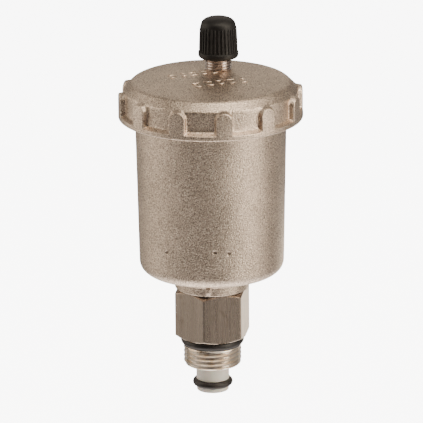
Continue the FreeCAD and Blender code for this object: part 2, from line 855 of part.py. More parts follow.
def make_float_yoke():
    body = new_body("float_yoke")
    plate_top = float_top + size.yoke_thickness
    plate = new_sketch(body, "plate_circle", "XY_Plane", float_top)
    draw_circle(plate, 0, 0, size.yoke_plate_r)
    extrude(body, "plate", plate, size.yoke_thickness)
    inner, outer = size.yoke_gap, size.yoke_gap + size.yoke_thickness
    top = link_z + size.yoke_head
    foot = plate_top - size.yoke_thickness / 2
    for name, side in (("left_ear", -1), ("right_ear", 1)):
        sketch = new_sketch(body, name + "_outline")
        draw(sketch, [
            (side * inner, foot),
            (side * outer, foot),
            (side * outer, top),
            (side * inner, top),
        ])
        extrude(body, name, sketch, size.yoke_depth, both=True)
    hole = new_sketch(body, "link_hole_circle", "YZ_Plane")
    draw_circle(hole, 0, link_z, size.link_pin_r)
    extrude(body, "link_hole", hole, 4 * outer, cut=True, both=True)
    return body


def make_link_pin():
    half = size.yoke_gap + size.yoke_thickness + size.link_pin_reach
    return headed_pin("link_pin", size.link_pin_r, half, size.link_pin_head_r,
                      size.link_pin_head_thickness, 0, link_z, (-1, 1))


def make_lever_bracket():
    body = new_body("lever_bracket")
    inner = size.bracket_half_width
    outer = inner + size.bracket_thickness
    foot_low = ceiling - size.bracket_thickness
    sketch = new_sketch(body, "stirrup_outline", "XZ_Plane", -bracket_far)
    right = [
        (inner, bracket_floor),
        (inner, ceiling),
        (size.bracket_reach, ceiling),
        (size.bracket_reach, foot_low),
        (outer, foot_low),
        (outer, bracket_low),
    ]
    draw(sketch, right + [(-x, z) for x, z in reversed(right)])
    extrude(body, "stirrup", sketch, bracket_far - bracket_near)
    bore(body, "guide_hole", 0, size.nozzle_offset, size.stem_tail_r + size.stem_tail_play,
         bracket_floor + 1, size.bracket_thickness + 2)
    for name, side in (("left_foot_hole", -1), ("right_foot_hole", 1)):
        bore(body, name, side * size.screw_x, screw_y, size.screw_r + size.shank_play,
             ceiling + 1, size.bracket_thickness + 2)
    pivot = new_sketch(body, "pivot_circle", "YZ_Plane")
    draw_circle(pivot, pivot_y, pivot_z, size.pivot_pin_r)
    extrude(body, "pivot_hole", pivot, 4 * outer, cut=True, both=True)
    return body


def make_bracket_screws():
    screws = []
    for name, side in (("left_screw", -1), ("right_screw", 1)):
        foot_low = ceiling - size.bracket_thickness
        head_low = foot_low - size.screw_head_height
        shank = doc.addObject("Part::Cylinder", name + "_shank")
        bind(shank, "Radius", size.screw_r)
        bind(shank, "Height", size.bracket_thickness + size.screw_bite)
        place(shank, side * size.screw_x, screw_y, foot_low)
        head = doc.addObject("Part::Cylinder", name + "_head")
        bind(head, "Radius", size.screw_head_r)
        bind(head, "Height", size.screw_head_height)
        place(head, side * size.screw_x, screw_y, head_low)
        blank = doc.addObject("Part::MultiFuse", name + "_blank")
        blank.Shapes = [shank, head]
        slot = doc.addObject("Part::Box", name + "_slot")
        bind(slot, "Length", size.screw_slot)
        bind(slot, "Width", 4 * size.screw_head_r)
        bind(slot, "Height", size.screw_head_height)
        place(slot, side * size.screw_x - size.screw_slot / 2, screw_y - 2 * size.screw_head_r,
              head_low - size.screw_head_height / 2)
        screw = doc.addObject("Part::Cut", name)
        screw.Base = blank
        screw.Tool = slot
        screws.append(screw)
    pair = doc.addObject("Part::Compound", "bracket_screws")
    pair.Label = "bracket_screws"
    pair.Links = screws
    return pair


def make_pivot_pin():
    half = size.bracket_half_width + size.bracket_thickness + size.pin_head_thickness
    return headed_pin("pivot_pin", size.pivot_pin_r, half, size.pin_head_r, size.pin_head_thickness,
                      pivot_y, pivot_z, (-1, 1))


def make_lever():
    body = new_body("lever")
    half = size.lever_depth / 2
    link_reach = sqrt(pivot_y * pivot_y + half_travel * half_travel)
    link_middle = (pivot_y + link_reach) / 2
    stem_reach = link_reach * lever_share
    stem_middle = (size.pivot_arm + stem_reach) / 2
    end = link_middle + half
    blade = new_sketch(body, "blade_outline", "YZ_Plane")
    draw(blade, [(-end, -half), (0, -half), (0, half), (-end, half)])
    extrude(body, "blade", blade, size.lever_thickness, both=True)
    hub = new_sketch(body, "hub_circle", "YZ_Plane")
    draw_circle(hub, 0, 0, size.lever_hub_r)
    extrude(body, "hub", hub, 2 * (size.bracket_half_width - size.lever_side_play), both=True)
    pivot = new_sketch(body, "pivot_circle", "YZ_Plane")
    draw_circle(pivot, 0, 0, size.pivot_pin_r + size.pivot_play)
    extrude(body, "pivot_hole", pivot, 4 * size.bracket_half_width, cut=True, both=True)
    slots = (
        ("link_slot", link_middle, size.link_pin_r + size.slot_play, (link_reach - pivot_y) / 2),
        ("stem_slot", stem_middle, size.stem_pin_r + size.slot_play, (stem_reach - size.pivot_arm) / 2),
    )
    for name, middle, slot_r, stretch in slots:
        sketch = new_sketch(body, name + "_outline", "YZ_Plane")
        long_half = slot_r + stretch
        draw(sketch, [
            (-middle - long_half, -slot_r),
            (-middle + long_half, -slot_r),
            (-middle + long_half, slot_r),
            (-middle - long_half, slot_r),
        ])
        extrude(body, name, sketch, 2 * size.lever_thickness, cut=True, both=True)
    place(body, y=pivot_y, z=pivot_z, axis=(1, 0, 0), angle=lever_rest)
    return body


def make_valve_stem():
    body = new_body("valve_stem")
    tail_end = bracket_low - size.stem_tail_reach
    spin(body, "stem_turning", [
        (0, tail_end),
        (size.stem_tail_r, tail_end),
        (size.stem_tail_r, stem_shoulder),
        (size.stem_r, stem_shoulder),
        (size.stem_r, stem_top),
        (size.pad_r, stem_top),
        (size.pad_r, stem_top - size.pad_thickness),
        (0, stem_top - size.pad_thickness),
    ])
    window = new_sketch(body, "window_outline")
    half = size.lever_thickness / 2 + size.stem_window_play
    draw(window, [
        (-half, stem_pin_z - size.stem_window),
        (half, stem_pin_z - size.stem_window),
        (half, stem_pin_z + size.stem_window),
        (-half, stem_pin_z + size.stem_window),
    ])
    extrude(body, "window", window, 4 * size.stem_r, cut=True, both=True)
    hole = new_sketch(body, "stem_pin_circle", "YZ_Plane")
    draw_circle(hole, 0, stem_pin_z, size.stem_pin_r)
    extrude(body, "stem_pin_hole", hole, 4 * size.stem_r, cut=True, both=True)
    place(body, y=size.nozzle_offset)
    return body


def make_stem_pin():
    return headed_pin("stem_pin", size.stem_pin_r, size.stem_r - size.stem_pin_inset, size.stem_pin_r,
                      size.stem_pin_end, size.nozzle_offset, stem_pin_z, (-1,))


def make_valve_pad():
    disc = doc.addObject("Part::Cylinder", "valve_pad")
    disc.Label = "valve_pad"
    bind(disc, "Radius", size.pad_r)
    bind(disc, "Height", size.pad_thickness)
    place(disc, y=size.nozzle_offset, z=stem_top - size.pad_thickness)
    return disc


def make_valve_spring():
    spring = coil("valve_spring", size.valve_spring_r, size.valve_spring_wire, size.valve_spring_turns,
                  bracket_floor, stem_shoulder)
    place(spring, y=size.nozzle_offset)
    return spring


pieces = [
    make_shutoff_valve_body(), make_inlet_seal_ring(), make_plunger_spring(),
    make_shutoff_plunger(), make_plunger_seal_ring(), make_joint_gasket(),
    make_casing(), make_cover(), make_cover_seal(),
    make_vent_nozzle(), make_nozzle_washer(), make_dust_cap(), make_cap_seal(),
    make_float_shell(), make_float_base(), make_float_yoke(), make_link_pin(),
    make_lever_bracket(), make_bracket_screws(), make_pivot_pin(),
    make_lever(), make_valve_stem(), make_stem_pin(), make_valve_pad(), make_valve_spring(),
]
doc.recompute()

for thing in doc.Objects:
    if any(word in ("Invalid", "Error") for word in thing.State):
        raise RuntimeError("%s did not build: %s" % (thing.Label, thing.State))
for piece in pieces:
    if piece.Shape.isNull() or not piece.Shape.isValid():
        raise RuntimeError("%s has no valid shape" % piece.Label)

os.makedirs("parts", exist_ok=True)
for piece in pieces:
    piece.Shape.exportStep("parts/%s.step" % piece.Label)
    box = piece.Shape.BoundBox
    print("%-20s %d solid %9.1f mm3  x %.2f %.2f  y %.2f %.2f  z %.2f %.2f" % (
        piece.Label, len(piece.Shape.Solids), piece.Shape.Volume,
        box.XMin, box.XMax, box.YMin, box.YMax, box.ZMin, box.ZMax))
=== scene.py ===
import json
import math

import bmesh
import bpy
import numpy as np
from bpy.props import (
    FloatProperty, FloatVectorProperty, IntProperty, PointerProperty,
)
from bpy.types import Operator, Panel, PropertyGroup
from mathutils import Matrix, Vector, noise


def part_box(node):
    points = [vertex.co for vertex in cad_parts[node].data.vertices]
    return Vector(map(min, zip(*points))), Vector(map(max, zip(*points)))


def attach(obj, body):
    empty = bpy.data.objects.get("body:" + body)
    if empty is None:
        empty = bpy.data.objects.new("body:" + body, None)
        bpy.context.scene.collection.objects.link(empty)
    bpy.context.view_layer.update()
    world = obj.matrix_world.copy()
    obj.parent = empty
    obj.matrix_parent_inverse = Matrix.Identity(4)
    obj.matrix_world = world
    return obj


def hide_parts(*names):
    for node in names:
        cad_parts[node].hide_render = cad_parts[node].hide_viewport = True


bl_info = {
    "name": "Automatic Air Vent",
    "version": (1, 0, 0),
    "blender": (4, 5, 0),
    "location": "3D View > Sidebar > Air Vent",
    "description": "Finished pieces and finishes for a float-operated automatic air vent",
    "category": "Add Mesh",
}

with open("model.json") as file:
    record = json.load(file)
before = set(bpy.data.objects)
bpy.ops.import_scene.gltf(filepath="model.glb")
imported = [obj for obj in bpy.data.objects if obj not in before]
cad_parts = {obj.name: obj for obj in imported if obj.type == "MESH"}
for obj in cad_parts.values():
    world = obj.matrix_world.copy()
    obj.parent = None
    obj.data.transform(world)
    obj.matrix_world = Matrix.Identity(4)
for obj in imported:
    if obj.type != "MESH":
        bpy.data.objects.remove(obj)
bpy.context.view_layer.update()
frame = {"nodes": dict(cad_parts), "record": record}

MM = 0.001
TAU = 2 * math.pi
WELD = 2e-7  # Points nearer than this, in metres, are one.
DOME_R = 128.0  # Radius of the cover's dome, in millimetres.
WHITE = 8.0  # Strength of the white floor and of the white behind the vent.


def low_high(node, axis=2):
    """Lowest and highest coordinate of a CAD node along one axis, in millimetres."""
    low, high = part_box(node)
    return low[axis] / MM, high[axis] / MM


# Places taken from the frame, in millimetres. The hexagon's lower face is at height 0.
inlet_end, hex_high = low_high("shutoff_valve_body")
collar_low = low_high("joint_gasket")[1]
spigot_end, rim_top = low_high("casing")
rim_r = low_high("casing", 0)[1]
cover_low, dome_top = low_high("cover")
flange_r = low_high("cover", 0)[1]
seal_top = low_high("cover_seal")[1]
nozzle_low, nozzle_top = low_high("vent_nozzle")
nozzle_y = sum(low_high("vent_nozzle", 1)) / 2
cap_low, cap_top = low_high("dust_cap")
cap_rim_r = low_high("dust_cap", 0)[1]
boss_ring_low, boss_ring_high = low_high("inlet_seal_ring")
boss_ring_r = low_high("inlet_seal_ring", 0)[1]


# ---------------------------------------------------------------- sizes a user would change

class CastingSettings(PropertyGroup):
    wall_r: FloatProperty(
        name="Wall radius under cover", description="Casing radius just under the cover, in millimetres",
        default=21.63, min=15)
    foot_r: FloatProperty(
        name="Wall radius at foot", description="Casing radius above its rounded foot, in millimetres",
        default=20.77, min=15)
    collar_r: FloatProperty(
        name="Collar radius", description="Radius of the collar over the hexagon, in millimetres",
        default=10.75, min=9)
    waviness: FloatProperty(
        name="Waviness", description="How far the cast skin wanders, in millimetres",
        default=0.045, min=0)
    colour: FloatVectorProperty(
        name="Plating", description="Colour of the blasted nickel plating",
        subtype="COLOR", size=3, default=(0.67, 0.54, 0.44), min=0, max=1)
    grain: FloatProperty(
        name="Grain", description="Size of the blasted grain, in millimetres", default=0.31, min=0.05)


class CoverSettings(PropertyGroup):
    lug_count: IntProperty(
        name="Lugs", description="Number of grip lugs round the cover", default=12, min=3)
    lug_width: FloatProperty(
        name="Lug width", description="Width of a lug at its foot, in millimetres", default=4.87)
    lug_top: FloatProperty(
        name="Lug height", description="Height of a lug above the cover's lower edge, in millimetres",
        default=8.2)
    wall_r: FloatProperty(
        name="Wall radius", description="Radius between the lugs, in millimetres", default=24.8)
    pip_count: IntProperty(
        name="Foundry pips", description="Raised pips in each row on the dome", default=5, min=2)


class ThreadSettings(PropertyGroup):
    pipe_r: FloatProperty(
        name="Pipe thread radius", description="Crest radius of the inlet thread, in millimetres",
        default=8.33)
    pipe_pitch: FloatProperty(
        name="Pipe thread pitch", description="Pitch of the inlet thread, in millimetres", default=1.337)
    pipe_depth: FloatProperty(
        name="Pipe thread depth", description="Depth of the inlet thread, in millimetres", default=0.856)
    nozzle_r: FloatProperty(
        name="Nozzle thread radius", description="Crest radius of the nozzle thread, in millimetres",
        default=3.85)
    nozzle_pitch: FloatProperty(
        name="Nozzle thread pitch", description="Pitch of the nozzle thread, in millimetres",
        default=0.794)
    nozzle_depth: FloatProperty(
        name="Nozzle thread depth", description="Depth of the nozzle thread, in millimetres",
        default=0.43)


class CapSettings(PropertyGroup):
    rib_count: IntProperty(name="Ribs", description="Grip ribs round the dust cap", default=32, min=6)
    rib_height: FloatProperty(
        name="Rib height", description="Height of a rib, in millimetres", default=7.9)
    colour: FloatVectorProperty(
        name="Plastic", description="Colour of the dust cap",
        subtype="COLOR", size=3, default=(0.0035, 0.0026, 0.003), min=0, max=1)


class StudioSettings(PropertyGroup):
    azimuth: FloatProperty(
        name="Azimuth", description="Angle of the camera round the vent", subtype="ANGLE",
        default=math.radians(21.6))
    elevation: FloatProperty(
        name="Elevation", description="Angle of the camera above the horizon", subtype="ANGLE",
        default=math.radians(17.55))
    distance: FloatProperty(
        name="Distance", description="From the camera to the vent", unit="LENGTH", default=1.2)
    lens: FloatProperty(name="Lens", description="Focal length in millimetres", default=356.3)
    lean: FloatProperty(
        name="Lean", description="Roll of the camera", subtype="ANGLE", default=math.radians(0.45))


# ---------------------------------------------------------------- mesh helpers

def round_path(corners, steps=4):
    """A profile of (radius, height) points. A third number on a corner rounds it by that radius."""
    path = []
    count = len(corners)
    for index, corner in enumerate(corners):
        here = np.array(corner[:2], float)
        fillet = corner[2] if len(corner) > 2 else 0
        if not fillet:
            path.append(here)
            continue
        before = np.array(corners[(index - 1) % count][:2], float)
        after = np.array(corners[(index + 1) % count][:2], float)
        arm_in = (before - here) / np.linalg.norm(before - here)
        arm_out = (after - here) / np.linalg.norm(after - here)
        half = math.acos(max(-1, min(1, float(arm_in @ arm_out)))) / 2
        reach = fillet / math.tan(half)
        middle = here + (arm_in + arm_out) / np.linalg.norm(arm_in + arm_out) * fillet / math.sin(half)
        start, stop = here + arm_in * reach - middle, here + arm_out * reach - middle
        sweep = math.pi - 2 * half
        for step in range(steps + 1):
            share = step / steps
            weight = (math.sin((1 - share) * sweep), math.sin(share * sweep))
            path.append(middle + (start * weight[0] + stop * weight[1]) / math.sin(sweep))
    return path


def even_angles(count):
    return np.linspace(0, TAU, count + 1)


def ring(radius, height, angles):
    """One row of points. radius and height may vary with the angle."""
    radius = np.broadcast_to(radius, angles.shape)
    height = np.broadcast_to(height, angles.shape)
    return np.stack([radius * np.sin(angles), -radius * np.cos(angles), height], axis=1)


def rings(path, angles):
    return [ring(radius, height, angles) for radius, height in path]


def shifted(rows, across):
    """Rows of points moved along Y."""
    for row in rows:
        row[:, 1] += across
    return rows


def densify(path, longest):
    """Adds points so that no run of a profile is longer than longest."""
    dense = [np.array(path[0], float)]
    for point in path[1:]:
        point, start = np.array(point, float), dense[-1]
        parts = max(1, math.ceil(np.linalg.norm(point - start) / longest))
        for part in range(1, parts + 1):
            dense.append(start + (point - start) * part / parts)
    return dense


def smooth(edge0, edge1, value):
    """0 at edge0, 1 at edge1, and an even curve between them."""
    share = np.clip((value - edge0) / (edge1 - edge0), 0, 1)
    return share * share * (3 - 2 * share)


def thread(low, high, crest_r, depth, pitch, angles, lead, runout, lead_at="low", per_turn=14):
    """Rows of a right-hand thread from low to high, chamfered at one end and fading at the other."""
    crest_share, flank_share, rounding = 0.14, 0.72, 0.35
    turns = (angles - angles[0]) / TAU
    rows = []
    for row in range(math.ceil((high - low) / pitch * per_turn) + per_turn + 1):
        height = np.clip(low - pitch + pitch * row / per_turn + pitch * turns, low, high)
        phase = (height / pitch - turns) % 1.0
        flank = np.clip((np.abs(2 * phase - 1) - crest_share) / flank_share, 0, 1)
        groove = smooth(0.0, 1.0, flank) * rounding + flank * (1 - rounding)
        from_lead, from_fade = height - low, high - height
        if lead_at == "high":
            from_lead, from_fade = from_fade, from_lead
        radius = crest_r - depth * groove * smooth(0, runout, from_fade)
        radius = np.minimum(radius, crest_r - lead + from_lead)
        rows.append(ring(radius, height, angles))
    return rows


def skin(name, rows, finish, body, node, sharp, slot=None):
    """Joins rows of points, in millimetres, into one closed mesh in place of a CAD node."""
    grid = np.array(rows) * MM
    count, around = grid.shape[:2]
    faces = []
    for row in range(count):
        after = (row + 1) % count
        for column in range(around - 1):
            faces.append((row * around + column, row * around + column + 1,
                          after * around + column + 1, after * around + column))
    mesh = bpy.data.meshes.new(name)
    mesh.from_pydata(grid.reshape(-1, 3).tolist(), [], faces)
    finish_mesh(mesh, sharp)
    return add_piece(name, mesh, finish, body, (node,), slot)


def finish_mesh(mesh, sharp):
    """Welds seams and poles, turns the faces outwards and marks the sharp edges."""
    work = bmesh.new()
    work.from_mesh(mesh)
    bmesh.ops.remove_doubles(work, verts=work.verts, dist=WELD)
    bmesh.ops.dissolve_degenerate(work, edges=work.edges, dist=WELD)
    loose = [vert for vert in work.verts if not vert.link_faces]
    bmesh.ops.delete(work, geom=loose, context="VERTS")
    bmesh.ops.recalc_face_normals(work, faces=work.faces)
    if work.calc_volume(signed=True) < 0:
        bmesh.ops.reverse_faces(work, faces=work.faces)
    limit = math.radians(sharp)
    for edge in work.edges:
        edge.smooth = edge.calc_face_angle(0) < limit
    for face in work.faces:
        face.smooth = True
    work.to_mesh(mesh)
    work.free()


def add_piece(name, mesh, finish, body, replaces=(), slot=None):
    """Puts a mesh on a body with its finish. The slot argument is not used."""
    slot = slot or finish
    piece = bpy.data.objects.new(name, mesh)
    bpy.context.scene.collection.objects.link(piece)
    mesh.materials.clear()
    mesh.materials.append(finishes[finish])
    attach(piece, body)
    if replaces:
        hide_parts(*replaces)
    return piece


def wander(rows, amount, size, seed=0.0):
    """Draws each point in along its radius by smooth noise, as a cast skin wanders."""
    fine_share, fine_scale, least_r = 0.45, 2.3, 1
    moved = []
    for row in rows:
        row = row.copy()
        for point in row[:-1]:
            spot = Vector((point[0] / size + seed, point[1] / size, point[2] / size))
            push = noise.noise(spot) + fine_share * noise.noise(spot * fine_scale)
            push = (push - (1 + fine_share)) / 2
            radius = math.hypot(point[0], point[1])
            if radius > least_r:
                point[:2] *= 1 + amount * push / radius
        row[-1] = row[0]
        moved.append(row)
    return moved


def clamp(row, limit):
    """Draws in any point of a row that stands further than limit from the axis."""
    reach = np.maximum(np.hypot(row[:, 0], row[:, 1]), 1e-9)
    row[:, :2] *= np.minimum(1, limit / reach)[:, None]
    return row


# ---------------------------------------------------------------- node helpers

class Out:
    """An output socket that works in Python expressions."""

    def __init__(self, tree, socket):
        self.tree = tree
        self.socket = socket

    def math(self, operation, *values):
        return self.tree.node("ShaderNodeMath", {"operation": operation}, 0, self, *values)

    def __add__(self, other):
        return self.math("ADD", other)

    def __mul__(self, other):
        return self.math("MULTIPLY", other)

    __radd__, __rmul__ = __add__, __mul__

    def __sub__(self, other):
        return self.math("SUBTRACT", other)

    def __rsub__(self, other):
        return self.tree.node("ShaderNodeMath", {"operation": "SUBTRACT"}, 0, other, self)

    def __truediv__(self, other):
        return self.math("DIVIDE", other)

    def ranged(self, low, high, at_low, at_high, curve="LINEAR"):
        """One value up to low, another from high on, and a run between them."""
        return self.tree.node("ShaderNodeMapRange", {"interpolation_type": curve}, 0,
                              self, low, high, at_low, at_high)

    def above(self, low, high):
        """0 under low, 1 over high, and smooth between."""
        return self.ranged(low, high, 0.0, 1.0, "SMOOTHSTEP")


class Tree:
    """A node tree built in Python."""

    def __init__(self, tree):
        self.tree = tree

    def fill(self, socket, value):
        if isinstance(value, Out):
            self.tree.links.new(value.socket, socket)
        elif value is not None:
            socket.default_value = value

    def node(self, kind, settings, output, *values, **named):
        """Adds a node: its settings first, then the values or links of its sockets, in order or by name."""
        node = self.tree.nodes.new(kind)
        for field, value in settings.items():
            setattr(node, field, value)
        sockets = [socket for socket in node.inputs if socket.enabled]
        for socket, value in zip(sockets, values):
            self.fill(socket, value)
        for label, value in named.items():
            label = label.replace("_", " ")
            self.fill(next(socket for socket in sockets if socket.name == label), value)
        outputs = [socket for socket in node.outputs if socket.enabled]
        return Out(self, outputs[output] if isinstance(output, int) else node.outputs[output])


class Shader(Tree):
    """A material whose maths is written as expressions."""

    def __init__(self, name):
        self.material = bpy.data.materials.new(name)
        self.material.use_nodes = True
        super().__init__(self.material.node_tree)
        self.base = self.tree.nodes["Principled BSDF"]
        self.place = self.node("ShaderNodeTexCoord", {}, "Object")

    def noise(self, scale, detail=2.0, rough=0.5, place=None):
        return self.node("ShaderNodeTexNoise", {}, 0, place or self.place, scale, detail, rough)

    def cells(self, scale):
        return self.node("ShaderNodeTexVoronoi", {}, "Distance", self.place, scale)

    def stretch(self, scale):
        """Object coordinates scaled by axis, for streaks."""
        return self.node("ShaderNodeMapping", {}, 0, self.place, None, None, scale)

    def mix(self, share, first, second):
        """Two colours mixed."""
        return self.node("ShaderNodeMix", {"data_type": "RGBA"}, 0, share, first, second)

    def bump(self, height, distance, strength=1.0):
        return self.node("ShaderNodeBump", {}, 0, Strength=strength, Distance=distance, Height=height)

    def set(self, **fields):
        """Sets the surface shader's sockets, such as base_color or roughness."""
        for field, value in fields.items():
            self.fill(self.base.inputs[field.replace("_", " ").title().replace("Ior", "IOR")], value)
        return self.material


def tint(colour, factor):
    """A colour made darker or lighter, with its alpha."""
    return tuple(min(1, channel * factor) for channel in colour) + (1.0,)


def blasted_nickel(name, colour, grain):
    """Cast brass, blasted and nickel plated: salt-and-pepper grain whose bright specks are painted
    highlights (glints), cloudy tone, and a few pits darkened with painted shade.
    """
    pit_r, lone_pits = 21.0, ((-16, 30.2), (24, 31.4), (35, 30.9))
    shader = Shader(name)
    fine = shader.noise(1 / (grain * MM), 2.0, 0.55)
    coarse = shader.noise(0.36 / (grain * MM), 2.0, 0.5)
    cloud = shader.noise(95.0, 3.0, 0.55)
    tone = shader.mix(cloud.above(0.35, 0.68), tint(colour, 0.9), tint(colour, 1.08))
    speck = 1 - fine.above(0.37, 0.48)
    # Painted highlight: bright specks that lift the base colour as glints.
    painted_glint = fine.above(0.54, 0.65)
    tone = shader.mix(speck * 0.8, tone, tint(colour, 0.33))
    tone = shader.mix(painted_glint, tone, tint(colour, 1.6))
    # Pits: pressed in by the bump, with painted shade darkening their colour inside them.
    pit_cells = shader.cells(230.0)
    pit_with_painted_shade = (1 - pit_cells.above(0.03, 0.075)) * shader.noise(160.0, 0.0).above(0.55, 0.62)
    for azimuth, height in lone_pits:
        turn = math.radians(azimuth)
        spot = (pit_r * math.sin(turn) * MM, -pit_r * math.cos(turn) * MM, height * MM)
        away = shader.node("ShaderNodeVectorMath", {"operation": "DISTANCE"}, 0, shader.place, spot)
        pit_with_painted_shade = pit_with_painted_shade + (1 - away.above(0.35 * MM, 0.75 * MM))
    pit_with_painted_shade = pit_with_painted_shade.math("MINIMUM", 1.0)
    # Painted shade: the pits' colour darkened to stand in for the shade inside them.
    tone = shader.mix(pit_with_painted_shade * 0.8, tone, tint(colour, 0.16))
    rough = 0.29 + 0.1 * cloud + 0.12 * speck
    height = fine * 0.9 + coarse * 0.3 - pit_with_painted_shade * 1.5
    normal = shader.bump(height, 0.00014)
    return shader.set(base_color=tone, metallic=1.0, roughness=rough, normal=normal)


def turned_nickel(name, colour):
    """Drawn hexagon bar, plated: satin with streaks along its length."""
    shader = Shader(name)
    streak = shader.noise(1.0, 4.0, 0.65, shader.stretch((1500, 1500, 45)))
    band = shader.noise(1.0, 2.0, 0.5, shader.stretch((330, 330, 16)))
    stain = shader.noise(240.0, 3.0, 0.6)
    tone = shader.mix(band.above(0.3, 0.7), tint(colour, 0.92), tint(colour, 1.06))
    tone = shader.mix(stain.above(0.56, 0.75) * 0.5, tone, tint((0.32, 0.25, 0.19), 0.9))
    rough = 0.2 + 0.16 * streak
    normal = shader.bump(streak + band * 0.6, 0.00003, 0.8)
    return shader.set(base_color=tone, metallic=1.0, roughness=rough, normal=normal)


def cut_thread(name, colour, warm):
    """Bright plated thread with tool marks round it and brass showing where it rubs."""
    shader = Shader(name)
    marks = shader.noise(1.0, 3.0, 0.6, shader.stretch((350, 350, 5200)))
    wear = shader.noise(330.0, 3.0, 0.6)
    tone = shader.mix(wear.above(0.42, 0.66), colour + (1.0,), warm + (1.0,))
    rough = 0.17 + 0.14 * marks
    normal = shader.bump(marks, 0.000025, 0.7)
    return shader.set(base_color=tone, metallic=1.0, roughness=rough, normal=normal)


def moulded_rubber(name, colour):
    """Nitrile rubber: dark, with dust in a faint moulded grain."""
    shader = Shader(name)
    grain = shader.noise(2600.0, 2.0, 0.6)
    dust = shader.noise(420.0, 3.0, 0.6)
    tone = shader.mix(dust.above(0.5, 0.8) * 0.5, colour + (1.0,), tint((0.11, 0.085, 0.075), 1.0))
    rough = 0.38 + 0.2 * dust
    normal = shader.bump(grain, 0.00003, 0.5)
    return shader.set(base_color=tone, roughness=rough, normal=normal)


def black_plastic(name, colour):
    """Moulded cap: satin black with a soft spark-eroded grain and scuffs."""
    shader = Shader(name)
    grain = shader.noise(3600.0, 2.0, 0.6)
    scuff = shader.noise(1.0, 3.0, 0.6, shader.stretch((900, 900, 260)))
    tone = shader.mix(scuff.above(0.55, 0.8) * 0.4, colour + (1.0,), tint((0.02, 0.016, 0.018), 1.0))
    rough = 0.44 + 0.18 * scuff
    normal = shader.bump(grain, 0.00003, 0.5)
    return shader.set(base_color=tone, roughness=rough, normal=normal, specular_ior_level=0.45)


def pale_plastic(name, colour, gloss=0.3):
    """Moulded acetal or polypropylene: milky, faintly mottled."""
    shader = Shader(name)
    mottle = shader.noise(260.0, 3.0, 0.55)
    ripple = shader.noise(1.0, 2.0, 0.5, shader.stretch((500, 500, 1500)))
    tone = shader.mix(mottle.above(0.35, 0.7), tint(colour, 0.93), tint(colour, 1.03))
    rough = gloss + 0.16 * mottle
    normal = shader.bump(ripple, 0.00002, 0.5)
    return shader.set(base_color=tone, roughness=rough, normal=normal, subsurface_weight=0.12,
                      subsurface_scale=0.0015)


def pressed_fibre(name, colour):
    """Fibre gasket sheet: matt, with flecks lying in the sheet."""
    shader = Shader(name)
    fleck = shader.noise(1.0, 3.0, 0.6, shader.stretch((900, 900, 3000)))
    tone = shader.mix(fleck.above(0.4, 0.68), tint(colour, 0.7), tint(colour, 1.35))
    normal = shader.bump(fleck, 0.00005, 0.6)
    return shader.set(base_color=tone, roughness=0.82, normal=normal)


def stamped_brass(name, colour):
    """Bare brass strip: rolled lines, faint tarnish."""
    shader = Shader(name)
    rolled = shader.noise(1.0, 3.0, 0.6, shader.stretch((300, 300, 4200)))
    tarnish = shader.noise(180.0, 4.0, 0.6)
    tone = shader.mix(tarnish.above(0.45, 0.75), colour + (1.0,), tint((0.42, 0.27, 0.12), 1.0))
    rough = 0.24 + 0.2 * tarnish
    normal = shader.bump(rolled, 0.00002, 0.6)
    return shader.set(base_color=tone, metallic=1.0, roughness=rough, normal=normal)


def drawn_steel(name):
    """Stainless wire and pins: fine lines and a cool tone."""
    shader = Shader(name)
    lines = shader.noise(1.0, 3.0, 0.6, shader.stretch((2600, 2600, 500)))
    cloud = shader.noise(300.0, 2.0, 0.5)
    tone = shader.mix(cloud, (0.50, 0.50, 0.49, 1.0), (0.66, 0.66, 0.67, 1.0))
    rough = 0.2 + 0.15 * lines
    normal = shader.bump(lines, 0.00001, 0.6)
    return shader.set(base_color=tone, metallic=1.0, roughness=rough, normal=normal)


finishes = {}


def make_finishes(scene):
    casting, cap = scene.vent_casting, scene.vent_cap
    finishes.update({
        "cast_nickel": blasted_nickel("blasted_nickel", tuple(casting.colour), casting.grain),
        # The hexagon's plating is given a darker colour than the casing's: painted shade for the shade
        # under the bowl's overhang.
        "turned_nickel": turned_nickel("turned_nickel", (0.46, 0.385, 0.325)),
        "bright_thread": cut_thread("cut_thread", (0.94, 0.86, 0.77), (0.84, 0.72, 0.58)),
        "nozzle_thread": cut_thread("nozzle_thread", (0.68, 0.61, 0.585), (0.47, 0.40, 0.36)),
        "black_rubber": moulded_rubber("nitrile_rubber", (0.016, 0.013, 0.013)),
        "black_plastic": black_plastic("cap_plastic", tuple(cap.colour)),
        "white_plastic": pale_plastic("white_acetal", (0.95, 0.91, 0.83)),
        "float_plastic": pale_plastic("float_polypropylene", (0.74, 0.70, 0.58), 0.4),
        "fibre": pressed_fibre("pressed_fibre", (0.16, 0.15, 0.14)),
        "stamped_brass": stamped_brass("stamped_brass", (0.78, 0.58, 0.28)),
        "spring_steel": drawn_steel("drawn_steel"),
    })


# ---------------------------------------------------------------- pieces

class VENT_OT_finishes(Operator):
    """Make every finish and put the right one on each CAD node"""
    bl_idname = "vent.finishes"
    bl_label = "Finishes"

    def execute(self, context):
        make_finishes(context.scene)
        slots = {part["node"]: part["material_slot"] for part in frame["record"]["subparts"]}
        for name, node in frame["nodes"].items():
            material = finishes[slots[name]]
            if not node.material_slots:
                node.data.materials.append(material)
            for holder in node.material_slots:
                holder.material = material
        return {"FINISHED"}


def dome_z(radius):
    """Height of the dome at a distance from the axis."""
    return dome_top - DOME_R + math.sqrt(DOME_R ** 2 - radius ** 2)


